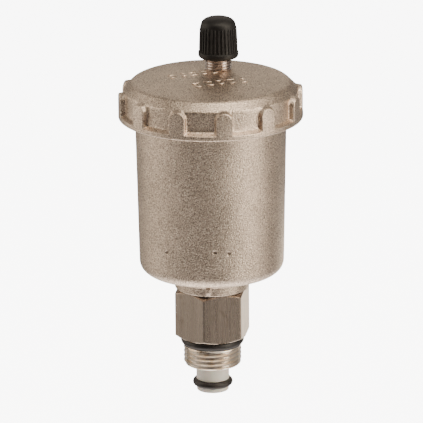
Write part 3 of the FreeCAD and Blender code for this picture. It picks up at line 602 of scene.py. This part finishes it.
def lug_angles(count, width, radius):
    """Angles round the cover, close together over the lugs' edges."""
    pitch = TAU / count
    half = width / 2 / radius
    least_gap = 0.3 / radius
    shares = (0.0, 0.25, 0.45, 0.6, 0.72, 0.80, 0.86, 0.91, 0.95, 0.985, 1.0)
    steps = (0.05, 0.1, 0.16, 0.24, 0.36, 0.55, 0.85, 1.3, 2.0, 2.8)
    side = [share * half for share in shares] + [half + step / radius for step in steps]
    side = [angle for angle in side if angle < pitch / 2 - least_gap] + [pitch / 2]
    one = sorted(-angle for angle in side[1:-1]) + side
    angles = np.array([lug * pitch + angle for lug in range(count) for angle in one])
    return np.append(angles, angles[0] + TAU)


class VENT_OT_cover(Operator):
    """Cast screw cover with its grip lugs, flange and dome"""
    bl_idname = "vent.cover"
    bl_label = "Cover"

    def execute(self, context):
        cover = context.scene.vent_cover
        wall_r = cover.wall_r
        lug_half = cover.lug_width / 2
        lug_face_r, bevel, crease = wall_r + 0.95, 0.36, 0.3
        foot_proud, foot_fade = 0.18, 0.25
        lug_low = cover_low + 0.8
        arch_z = cover_low + cover.lug_top - lug_half
        flange_top, ledge_top = cover_low + 1.4, cover_low + 2.3
        chamfer_low = cover_low + 8.05
        chamfer_r = wall_r - 2.5
        roof_r = 20.0
        angles = lug_angles(cover.lug_count, cover.lug_width, wall_r)
        pitch = TAU / cover.lug_count
        across = (angles + pitch / 2) % pitch - pitch / 2

        def surface(base_r, height):
            """Radius round the cover at one height: wall, ledge and lugs blended."""
            sideways = across * base_r
            above = max(0.0, height - arch_z)
            inside = lug_half - np.hypot(sideways, above)
            lift = smooth(-0.17, 0.19, inside)
            foot = foot_proud * np.exp(np.clip(inside, -9, 0) / foot_fade) * (1 - lift)
            face = base_r + foot + lift * (lug_face_r - base_r)
            face = face + (flange_r - lug_face_r) * np.sin(np.clip(inside / bevel, 0, 1) * math.pi / 2)
            standing = smooth(lug_low, lug_low + 0.2, height)
            both = np.maximum(base_r, base_r + (face - base_r) * standing)
            near = np.exp(-np.abs(base_r - face) / crease) * crease * 0.3 * (inside > 0)
            return np.minimum(both + near * standing, flange_r)

        outer = [(rim_r + 0.25, cover_low), (flange_r, cover_low, 0.35),
                 (flange_r, flange_top, 0.35), (wall_r + 0.05, ledge_top, 0.5),
                 (wall_r, arch_z)]
        path = densify(round_path(outer)[:-1], 0.3)
        for heights in (np.arange(path[-1][1] + 0.3, arch_z - 0.2, 0.42),
                        np.arange(arch_z, chamfer_low - 0.7, 0.2)):
            path += [np.array((wall_r, height)) for height in heights]
        crown = round_path([(wall_r, path[-1][1] + 0.14), (wall_r, chamfer_low, 1.0),
                            (chamfer_r, dome_z(chamfer_r), 2.5), (0.0, dome_top + 1.0)], steps=8)
        path += densify(crown[:-1], 0.16)
        rows = [ring(surface(radius, height), height, angles) for radius, height in path]
        last_r = path[-1][0]
        for share in np.linspace(0.93, 0.0, 14):
            rows.append(ring(last_r * share, dome_z(last_r * share), angles))
        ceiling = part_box("nozzle_washer")[1][2] / MM
        inner = [(0.0, ceiling), (roof_r, ceiling), (roof_r, seal_top), (rim_r + 0.1, seal_top),
                 (rim_r + 0.1, cover_low + 0.3)]
        rows = [clamp(row, flange_r) for row in wander(rows, 0.03, 5.0, 4.0)]
        rows += rings(inner, angles)
        skin("cast_cover", rows, "cast_nickel", "vent", "cover", sharp=60)
        return {"FINISHED"}


class VENT_OT_casing(Operator):
    """Cast casing with its rounded foot, collar and threaded spigot"""
    bl_idname = "vent.casing"
    bl_label = "Casing"

    def execute(self, context):
        casting, threads = context.scene.vent_casting, context.scene.vent_threads
        angles = even_angles(240)
        collar_high = collar_low + 2.8
        foot_slope = math.tan(math.radians(18))
        foot_z = collar_high + (casting.foot_r - casting.collar_r) * foot_slope
        band_low = cover_low + 0.8
        chamber_r, chamber_low = 18.6, foot_z + 2.1
        throat_r, throat_high = 5.5, collar_high + 1.1
        stub_turn, stub_proud = math.radians(16), 0.4
        root_r = threads.pipe_r - threads.pipe_depth
        spigot = thread(spigot_end, collar_low - 1.5, threads.pipe_r, threads.pipe_depth,
                        threads.pipe_pitch, angles, lead=0.7, runout=0.4)
        neck = rings(round_path([(root_r, collar_low - 1.3), (root_r, collar_low)]), angles)
        skin_path = round_path([
            (root_r + 0.3, collar_low), (casting.collar_r, collar_low, 0.35),
            (casting.collar_r, collar_high, 0.55), (casting.foot_r, foot_z, 3.2),
            (casting.wall_r, cover_low), (casting.wall_r, band_low),
        ], steps=8)
        shell = rings(densify(skin_path, 0.8), angles)
        for row in shell:
            height = row[0][2]
            if collar_low + 0.4 < height < collar_high - 0.3:
                offset = (angles - stub_turn + math.pi) % TAU - math.pi
                proud = stub_proud * smooth(0.85, 0.45, np.abs(offset) * casting.collar_r)
                row[:, 0] += proud * np.sin(angles)
                row[:, 1] -= proud * np.cos(angles)
        shell = wander(shell, casting.waviness, 6.5)
        rim = round_path([
            (rim_r, band_low + rim_r - casting.wall_r), (rim_r, rim_top, 0.5), (chamber_r, rim_top),
            (chamber_r, chamber_low), (throat_r, throat_high), (throat_r, spigot_end),
        ])
        rows = spigot + neck + shell + rings(rim, angles)
        skin("cast_casing", rows, "cast_nickel", "vent", "casing", sharp=55)
        return {"FINISHED"}


class VENT_OT_shutoff(Operator):
    """Hexagon of the shut-off valve with its inlet thread and stepped bore"""
    bl_idname = "vent.shutoff"
    bl_label = "Shut-off valve"

    def execute(self, context):
        threads = context.scene.vent_threads
        turn = math.radians(8.6)
        face_r, edge, sharpness = 9.7, 0.1, 0.0011
        slope = math.tan(math.radians(30))
        flat = 19.5 / 2
        bore_r, mouth = 5.3, 1.0
        pocket_r, pocket_low, pocket_high = 7.0, 1.2, 6.2
        shares = np.array([0, 0.004, 0.009, 0.016, 0.03, 0.07, 0.15, 0.26, 0.38, 0.5])
        shares = np.concatenate([shares, 1 - shares[-2:0:-1]])
        angles = np.concatenate([side * TAU / 6 + shares * TAU / 6 for side in range(6)] + [[TAU]])
        phi = (angles % (TAU / 6)) - TAU / 12
        second = TAU / 12 - np.abs(phi)
        near, far = np.cos(phi) / flat, np.cos(TAU / 12 + second) / flat
        soft = near + sharpness * np.exp(-(near - far) / sharpness) * 0.5
        outline = 1 / soft
        angles = angles + turn
        fall = (outline - face_r) * slope
        socket_r = threads.pipe_r + 0.1
        groove_r = boss_ring_r - (boss_ring_high - boss_ring_low)
        land_high = boss_ring_low - 0.1
        root_r = threads.pipe_r - threads.pipe_depth
        rows = rings([(socket_r, hex_high - 0.3), (socket_r + 0.3, hex_high), (face_r - edge, hex_high)],
                     angles)
        rows.append(ring(face_r + edge, hex_high - edge * slope, angles))
        rows.append(ring(outline - edge, hex_high - fall + edge * slope, angles))
        rows.append(ring(outline, hex_high - fall - edge, angles))
        for share in (0.25, 0.5, 0.75):
            rows.append(ring(outline, hex_high * (1 - share), angles))
        rows.append(ring(outline, fall + edge, angles))
        rows.append(ring(outline - edge, fall - edge * slope, angles))
        rows.append(ring(face_r + edge, edge * slope, angles))
        rows += rings([(face_r - edge, 0), (groove_r, 0), (groove_r, land_high)], angles)
        cut = thread(inlet_end, land_high, threads.pipe_r, threads.pipe_depth, threads.pipe_pitch,
                     angles, lead=0.5, runout=0.55)
        rows += cut[::-1]
        rows += rings(round_path([
            (bore_r + mouth, inlet_end, 0.12), (bore_r, inlet_end + mouth, 0.12), (bore_r, pocket_low),
            (pocket_r, pocket_low), (pocket_r, pocket_high), (socket_r, pocket_high),
        ], steps=2), angles)
        piece = skin("shutoff_hexagon", rows, "turned_nickel", "shutoff", "shutoff_valve_body", sharp=32)
        piece.data.materials.append(finishes["bright_thread"])
        for face in piece.data.polygons:
            if face.center.z < -0.05 * MM:
                face.material_index = 1
        return {"FINISHED"}


class VENT_OT_seals(Operator):
    """O-rings under the hexagon and on the plunger"""
    bl_idname = "vent.seals"
    bl_label = "Seals"

    def execute(self, context):
        angles = even_angles(128)
        rounds, flash_height, flash_width = 28, 0.03, 0.12
        for name, node, body in (("boss_ring", "inlet_seal_ring", "shutoff"),
                                 ("plunger_ring", "plunger_seal_ring", "plunger")):
            low, high = low_high(node)
            outer_r, section = low_high(node, 0)[1], (high - low) / 2
            rows = []
            for step in range(rounds):
                angle = TAU * step / rounds
                flash = flash_height * math.exp(-(math.sin(angle) / flash_width) ** 2)
                radius = outer_r - section + (section + flash - flash_height) * math.cos(angle)
                rows.append(ring(radius, (low + high) / 2 + section * math.sin(angle), angles))
            skin(name, rows, "black_rubber", body, node, sharp=80)
        return {"FINISHED"}


class VENT_OT_plunger(Operator):
    """White plunger of the shut-off valve, with its moulded edges rounded"""
    bl_idname = "vent.plunger"
    bl_label = "Plunger"

    def execute(self, context):
        soften("plunger_moulding", "shutoff_plunger", "plunger", "white_plastic", 0.16)
        return {"FINISHED"}


def soften(name, node, body, finish, width):
    """A copy of a CAD node with its sharp edges rounded."""
    flat, sharp_from = math.radians(0.5), math.radians(38)
    mesh = frame["nodes"][node].data.copy()
    mesh.name = name
    work = bmesh.new()
    work.from_mesh(mesh)
    bmesh.ops.remove_doubles(work, verts=work.verts, dist=WELD)
    bmesh.ops.dissolve_limit(work, angle_limit=flat, verts=work.verts, edges=work.edges)
    sharp = [edge for edge in work.edges if edge.calc_face_angle(0) > sharp_from]
    bmesh.ops.bevel(work, geom=sharp, offset=width * MM, offset_type="OFFSET", segments=3, profile=0.5,
                    affect="EDGES", clamp_overlap=True)
    work.to_mesh(mesh)
    work.free()
    finish_mesh(mesh, 50)
    return add_piece(name, mesh, finish, body, (node,))


class VENT_OT_nozzle(Operator):
    """Vent nozzle with its tyre-valve thread"""
    bl_idname = "vent.nozzle"
    bl_label = "Nozzle"

    def execute(self, context):
        threads = context.scene.vent_threads
        angles = even_angles(96)
        washer_low, washer_high = low_high("nozzle_washer")
        shank_r, shank_top = 4.6, washer_high + 2.0
        root_r = threads.nozzle_r - threads.nozzle_depth
        washer_r = low_high("nozzle_washer", 0)[1]
        flange_low = washer_low - 1.5
        nose_r, nose_low = 3.2, flange_low - 1.0
        jet_r, tip_r = 1.0, 1.6
        turned = round_path([
            (jet_r, nozzle_low), (tip_r, nozzle_low, 0.08), (tip_r, nose_low), (nose_r, nose_low, 0.2),
            (nose_r, flange_low), (washer_r, flange_low, 0.2), (washer_r, washer_low, 0.2),
            (shank_r, washer_low), (shank_r, shank_top), (root_r, shank_top),
        ], steps=2)
        cut = thread(shank_top, nozzle_top, threads.nozzle_r, threads.nozzle_depth,
                     threads.nozzle_pitch, angles, lead=0.45, runout=0.2, lead_at="high", per_turn=12)
        mouth = [(jet_r + 0.25, nozzle_top), (jet_r, nozzle_top - 0.25)]
        rows = shifted(rings(turned, angles) + cut + rings(mouth, angles), nozzle_y)
        skin("nozzle", rows, "nozzle_thread", "vent", "vent_nozzle", sharp=40, slot="bright_thread")
        return {"FINISHED"}


# ---------------------------------------------------------------- repeated pieces

class Net(Tree):
    """A Geometry Nodes tree with named inputs."""

    def __init__(self, name, inputs):
        super().__init__(bpy.data.node_groups.new(name, "GeometryNodeTree"))
        face = self.tree.interface
        face.new_socket("Geometry", in_out="INPUT", socket_type="NodeSocketGeometry")
        self.names = {}
        for label, kind in inputs:
            socket = face.new_socket(label, in_out="INPUT", socket_type="NodeSocket" + kind)
            self.names[label] = socket.identifier
        face.new_socket("Geometry", in_out="OUTPUT", socket_type="NodeSocketGeometry")
        self.source = self.tree.nodes.new("NodeGroupInput")
        self.sink = self.tree.nodes.new("NodeGroupOutput")

    def value(self, label):
        return Out(self, self.source.outputs[label])

    def end(self, geometry, material):
        """Realizes the instances, sets the material and closes the tree."""
        real = self.node("GeometryNodeRealizeInstances", {}, 0, geometry)
        painted = self.node("GeometryNodeSetMaterial", {}, 0, Geometry=real, Material=material)
        self.fill(self.sink.inputs[0], painted)

    def bake(self, name, values):
        """Runs the tree with these values and returns a plain mesh."""
        holder = bpy.data.objects.new(name + "_work", bpy.data.meshes.new(name + "_work"))
        bpy.context.scene.collection.objects.link(holder)
        modifier = holder.modifiers.new("Net", "NODES")
        modifier.node_group = self.tree
        for label, value in values.items():
            modifier[self.names[label]] = value
        bpy.context.view_layer.update()
        graph = bpy.context.evaluated_depsgraph_get()
        mesh = bpy.data.meshes.new_from_object(holder.evaluated_get(graph))
        holder.modifiers.remove(modifier)
        bpy.data.objects.remove(holder)
        return mesh


class VENT_OT_cap(Operator):
    """Ribbed dust cap on the nozzle"""
    bl_idname = "vent.cap"
    bl_label = "Dust cap"

    def execute(self, context):
        cap = context.scene.vent_cap
        angles = even_angles(128)
        foot_r, head_r = cap_rim_r - 0.45, cap_rim_r - 0.77
        crown_z, crown_steps = cap_top - 2.45, 14
        rib_low, rib_thickness = cap_low + 1.4, 0.3
        bore_r = context.scene.vent_threads.nozzle_r + 0.12
        outside = round_path([
            (bore_r, cap_low + 0.2), (bore_r + 0.2, cap_low), (cap_rim_r, cap_low, 0.8),
            (cap_rim_r, cap_low + 1.7, 0.25), (foot_r, cap_low + 1.95, 0.15), (head_r, crown_z),
        ])
        crown = []
        for step in range(1, crown_steps + 1):
            angle = math.pi / 2 * step / crown_steps
            crown.append((head_r * math.cos(angle) ** 0.72,
                          crown_z + (cap_top - crown_z) * math.sin(angle) ** 0.9))
        crown[-1] = (0.0, cap_top)
        seal_high = low_high("cap_seal")[1]
        inside = [(0.0, seal_high), (bore_r, seal_high)]
        rows = shifted(rings(densify(outside, 1.0) + crown + inside, angles), nozzle_y)
        skin("cap_moulding", rows, "black_plastic", "cap", "dust_cap", sharp=50)

        net = Net("CapRibs", [("Ribs", "Int"), ("Radius", "Float"), ("Foot", "Float"), ("Height", "Float"),
                              ("Lean", "Float"), ("Thickness", "Float"), ("Offset", "Float"),
                              ("Finish", "Material")])
        circle = net.node("GeometryNodeMeshCircle", {}, 0, net.value("Ribs"), net.value("Radius"))
        pill = net.node("GeometryNodeMeshUVSphere", {}, 0, Segments=12, Rings=12, Radius=1.0)
        place = net.node("GeometryNodeInputPosition", {}, 0)
        x, y, z = (net.node("ShaderNodeSeparateXYZ", {}, axis, place) for axis in "XYZ")
        tall = z.math("SIGN") * z.math("ABSOLUTE").math("POWER", 0.4) * 0.5 + 0.5
        thickness = net.value("Thickness")
        shape = net.node("ShaderNodeCombineXYZ", {}, 0, x * thickness - tall * net.value("Lean"),
                         y * thickness, tall * net.value("Height"))
        rib = net.node("GeometryNodeSetPosition", {}, 0, Geometry=pill, Position=shape)
        aligned = net.node("FunctionNodeAlignRotationToVector", {"axis": "X", "pivot_axis": "Z"}, 0,
                           Vector=place)
        stand = net.node("GeometryNodeInstanceOnPoints", {}, 0, Points=circle, Instance=rib,
                         Rotation=aligned)
        lift = net.node("ShaderNodeCombineXYZ", {}, 0, 0.0, net.value("Offset"), net.value("Foot"))
        moved = net.node("GeometryNodeTransform", {}, 0, Geometry=stand, Translation=lift)
        net.end(moved, net.value("Finish"))
        mesh = net.bake("CapRibs", {
            "Ribs": cap.rib_count, "Radius": foot_r * MM, "Foot": rib_low * MM,
            "Height": cap.rib_height * MM, "Lean": (foot_r - head_r) * MM,
            "Thickness": rib_thickness * MM,
            "Offset": nozzle_y * MM, "Finish": finishes["black_plastic"]})
        finish_mesh(mesh, 50)
        add_piece("cap_ribs", mesh, "black_plastic", "cap")
        return {"FINISHED"}


class VENT_OT_pips(Operator):
    """Raised foundry pips in two rows on the dome"""
    bl_idname = "vent.pips"
    bl_label = "Foundry pips"

    def execute(self, context):
        cover = context.scene.vent_cover
        aside_by, pip_r, sunk, spin_most = 1.35, 0.5, 0.02, 0.6
        # Start and stop of each row on the dome, and its seed.
        lines = (((-9.7, -4.7), (0.2, 2.5), 3), ((0.3, -10.6), (10.6, -1.7), 11))
        net = Net("FoundryPips", [("Pips", "Int"), ("Start", "Vector"), ("Step", "Vector"),
                                  ("Size", "Float"), ("Turn", "Float"), ("Dome", "Float"),
                                  ("Top", "Float"), ("Seed", "Int"), ("Finish", "Material")])
        line = net.node("GeometryNodeMeshLine", {"mode": "OFFSET"}, 0, Count=net.value("Pips"),
                        Start_Location=net.value("Start"), Offset=net.value("Step"))
        place = net.node("GeometryNodeInputPosition", {}, 0)
        x, y = (net.node("ShaderNodeSeparateXYZ", {}, axis, place) for axis in "XY")
        height = net.value("Top") - (x * x + y * y) / (net.value("Dome") * 2.0)
        spot = net.node("ShaderNodeCombineXYZ", {}, 0, x, y, height)
        seated = net.node("GeometryNodeSetPosition", {}, 0, Geometry=line, Position=spot)
        pip = net.node("GeometryNodeMeshIcoSphere", {}, 0, Radius=net.value("Size"), Subdivisions=3)
        stretch = net.node("FunctionNodeRandomValue", {"data_type": "FLOAT_VECTOR"}, 0,
                           Min=(1.5, 0.75, 0.5), Max=(3.0, 1.3, 0.75), Seed=net.value("Seed"))
        spin = net.node("FunctionNodeRandomValue", {"data_type": "FLOAT"}, 0,
                        Min=-spin_most, Max=spin_most, Seed=net.value("Seed"))
        turn = net.node("ShaderNodeCombineXYZ", {}, 0, 0.0, 0.0, net.value("Turn") + spin)
        rotation = net.node("FunctionNodeEulerToRotation", {}, 0, turn)
        stand = net.node("GeometryNodeInstanceOnPoints", {}, 0, Points=seated, Instance=pip,
                         Rotation=rotation, Scale=stretch)
        net.end(stand, net.value("Finish"))
        rows = []
        for start, stop, seed in lines:
            run = (Vector(stop) - Vector(start)).normalized()
            aside = Vector((-run.y, run.x)) * aside_by
            for half, side in enumerate((-1, 1)):
                rows.append((Vector(start) + aside * side, Vector(stop) + aside * side, seed + half))
        for number, (start, stop, seed) in enumerate(rows, start=1):
            gap = [(b - a) / (cover.pip_count - 1) for a, b in zip(start, stop)]
            mesh = net.bake("FoundryPips", {
                "Pips": cover.pip_count,
                "Start": (start[0] * MM, start[1] * MM, 0.0),
                "Step": (gap[0] * MM, gap[1] * MM, 0.0),
                "Size": pip_r * MM, "Turn": math.atan2(gap[1], gap[0]), "Dome": DOME_R * MM,
                "Top": (dome_top - sunk) * MM, "Seed": seed, "Finish": finishes["cast_nickel"]})
            finish_mesh(mesh, 60)
            add_piece("foundry_pips_%d" % number, mesh, "cast_nickel", "vent")
        return {"FINISHED"}


# ---------------------------------------------------------------- stage

def direction(azimuth, elevation):
    """Unit vector from the vent towards an azimuth and an elevation."""
    flat = math.cos(elevation)
    return Vector((math.sin(azimuth) * flat, -math.cos(azimuth) * flat, math.sin(elevation)))


class VENT_OT_stage(Operator):
    """Pale floor, soft studio light and the camera"""
    bl_idname = "vent.stage"
    bl_label = "Stage"

    def execute(self, context):
        studio = context.scene.vent_studio
        self.floor()
        self.world(context.scene)
        self.lights(studio)
        self.camera(context.scene, studio)
        return {"FINISHED"}

    def floor(self):
        mesh = bpy.data.meshes.new("studio_floor")
        reach, depth = 6.0, -0.16
        mesh.from_pydata([(-reach, -reach, depth), (reach, -reach, depth), (reach, reach, depth),
                          (-reach, reach, depth)], [], [(0, 1, 2, 3)])
        floor = bpy.data.objects.new("studio_floor", mesh)
        bpy.context.scene.collection.objects.link(floor)
        shader = Shader("studio_floor")
        mesh.materials.append(shader.set(base_color=(0.9, 0.9, 0.9, 1), roughness=0.9,
                                         emission_color=(1, 1, 1, 1), emission_strength=WHITE))
        floor.visible_diffuse = floor.visible_glossy = False

    def world(self, scene):
        """Dim surroundings, brighter below and darker in front, and white behind the vent."""
        world = bpy.data.worlds.new("studio")
        world.use_nodes = True
        scene.world = world
        nodes, tree = world.node_tree.nodes, Tree(world.node_tree)
        way = tree.node("ShaderNodeTexCoord", {}, "Generated")
        rise = tree.node("ShaderNodeSeparateXYZ", {}, "Z", way)
        glow = rise.ranged(-0.5, 0.1, 0.42, 0.2) + rise.ranged(-1.0, -0.5, 3.4, 0.0)
        front = direction(scene.vent_studio.azimuth + math.radians(-8), 0)
        facing = tree.node("ShaderNodeVectorMath", {"operation": "DOT_PRODUCT"}, "Value", way, front)
        soft = nodes["Background"]
        soft.inputs["Color"].default_value = (1, 0.925, 0.85, 1)
        tree.fill(soft.inputs["Strength"], glow * facing.ranged(0.6, 0.95, 1.0, 0.3))
        white = tree.node("ShaderNodeBackground", {}, 0, None, WHITE)
        seen = tree.node("ShaderNodeLightPath", {}, "Is Camera Ray")
        mixed = tree.node("ShaderNodeMixShader", {}, 0, seen, Out(tree, soft.outputs[0]), white)
        tree.fill(nodes["World Output"].inputs["Surface"], mixed)

    def lights(self, studio):
        """Soft boxes round the vent."""
        # Azimuth from the camera and elevation in degrees, distance, width and height in metres, watts.
        boxes = (
            ("right_box", 60, 16, 0.75, 0.36, 0.9, 6.2),
            ("left_box", -96, 15, 0.8, 0.75, 0.9, 3.6),
            ("top_box", 35, 66, 0.75, 0.7, 0.5, 4.0),
            ("low_box", 153, -23.7, 0.22, 0.12, 0.05, 0.042),
            ("rear_box", 180, 30, 0.9, 0.9, 0.5, 0.9),
        )
        middle = Vector((0, 0, 0.035))
        for name, azimuth, elevation, distance, width, height, power in boxes:
            light = bpy.data.lights.new(name, "AREA")
            light.shape = "RECTANGLE"
            light.size, light.size_y, light.energy = width, height, power
            light.color = (1.0, 0.89, 0.73)
            lamp = bpy.data.objects.new(name, light)
            lamp.visible_camera = False
            bpy.context.scene.collection.objects.link(lamp)
            way = direction(studio.azimuth + math.radians(azimuth), math.radians(elevation))
            lamp.location = middle + way * distance
            lamp.rotation_euler = way.to_track_quat("Z", "Y").to_euler()

    def camera(self, scene, studio):
        camera = bpy.data.cameras.new("camera")
        camera.lens = studio.lens
        camera.sensor_width = 36
        camera.clip_start = 0.05
        holder = bpy.data.objects.new("camera", camera)
        scene.collection.objects.link(holder)
        way = direction(studio.azimuth, studio.elevation)
        aim = Vector((0, 0, 37.04 * MM))
        holder.location = aim + way * studio.distance
        holder.rotation_euler = way.to_track_quat("Z", "Y").to_euler()
        holder.rotation_euler.rotate_axis("Z", -studio.lean)
        scene.camera = holder


class VENT_PT_panel(Panel):
    """Pieces of the air vent"""
    bl_idname = "VENT_PT_panel"
    bl_label = "Air Vent"
    bl_space_type = "VIEW_3D"
    bl_region_type = "UI"
    bl_category = "Air Vent"

    def draw(self, context):
        for group in GROUPS:
            box = self.layout.box()
            settings = getattr(context.scene, group)
            for field in settings.bl_rna.properties.keys():
                if field not in ("rna_type", "name"):
                    box.prop(settings, field)
        for operator in OPERATORS:
            self.layout.operator(operator.bl_idname)


GROUPS = {
    "vent_casting": CastingSettings,
    "vent_cover": CoverSettings,
    "vent_threads": ThreadSettings,
    "vent_cap": CapSettings,
    "vent_studio": StudioSettings,
}
OPERATORS = (
    VENT_OT_finishes, VENT_OT_casing, VENT_OT_cover, VENT_OT_pips, VENT_OT_nozzle, VENT_OT_cap,
    VENT_OT_shutoff, VENT_OT_seals, VENT_OT_plunger, VENT_OT_stage,
)
CLASSES = tuple(GROUPS.values()) + OPERATORS + (VENT_PT_panel,)


def register():
    for item in CLASSES:
        bpy.utils.register_class(item)
    for name, group in GROUPS.items():
        setattr(bpy.types.Scene, name, PointerProperty(type=group))


def unregister():
    for name in GROUPS:
        delattr(bpy.types.Scene, name)
    for item in reversed(CLASSES):
        bpy.utils.unregister_class(item)


def main():
    register()
    for operator in OPERATORS:
        group, name = operator.bl_idname.split(".")
        getattr(getattr(bpy.ops, group), name)()


if __name__ == "__main__":
    main()
